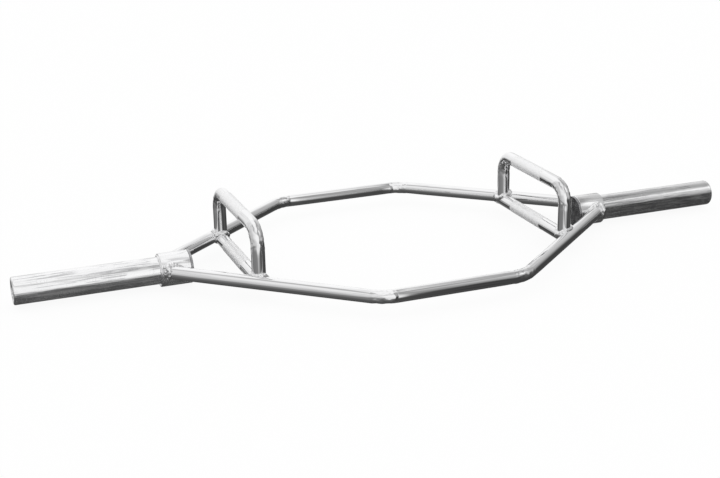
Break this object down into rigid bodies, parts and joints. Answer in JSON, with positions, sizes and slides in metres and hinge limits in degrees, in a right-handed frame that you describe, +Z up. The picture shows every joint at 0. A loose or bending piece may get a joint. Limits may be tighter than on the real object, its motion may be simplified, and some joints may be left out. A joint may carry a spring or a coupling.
{
  "type": "hexagonal trap bar",
  "caption": "Hexagonal lifting bar of bent steel tube: plate sleeves on its ends, low and raised grips at its sides, and an open middle for the lifter to stand in.",
  "frame": {"origin": "on the ground below the middle of the bar, at the centre of its footprint, with the collars resting on the ground", "axes": "+X along the bar to the right sleeve, the front rail on the -Y side, +Z up to the raised grips"},
  "size_m": [1.42, 0.606, 0.1399],
  "materials": {
    "polished_chrome": "bright chrome plate on smooth steel tube",
    "sleeve_chrome": "bright chrome plate with fine turning marks",
    "grip_chrome": "bright chrome plate, knurled in the middle",
    "weld_chrome": "chrome plate over a rippled weld bead",
    "plate_steel": "dull steel plate that closes the collar's inner end"
  },
  "bodies": {
    "root": {"front_rail": "polished_chrome", "rear_rail": "polished_chrome", "left_sleeve": "sleeve_chrome", "right_sleeve": "sleeve_chrome", "left_collar": "polished_chrome", "right_collar": "polished_chrome", "left_inner_plate": "plate_steel", "right_inner_plate": "plate_steel", "left_end_plug": "sleeve_chrome", "right_end_plug": "sleeve_chrome", "left_low_handle": "grip_chrome", "right_low_handle": "grip_chrome", "left_raised_handle": "grip_chrome", "right_raised_handle": "grip_chrome", "left_sleeve_weld": "weld_chrome", "right_sleeve_weld": "weld_chrome", "left_front_rail_weld": "weld_chrome", "left_rear_rail_weld": "weld_chrome", "right_front_rail_weld": "weld_chrome", "right_rear_rail_weld": "weld_chrome", "left_front_foot_weld": "weld_chrome", "left_rear_foot_weld": "weld_chrome", "right_front_foot_weld": "weld_chrome", "right_rear_foot_weld": "weld_chrome"}
  },
  "joints": []
}
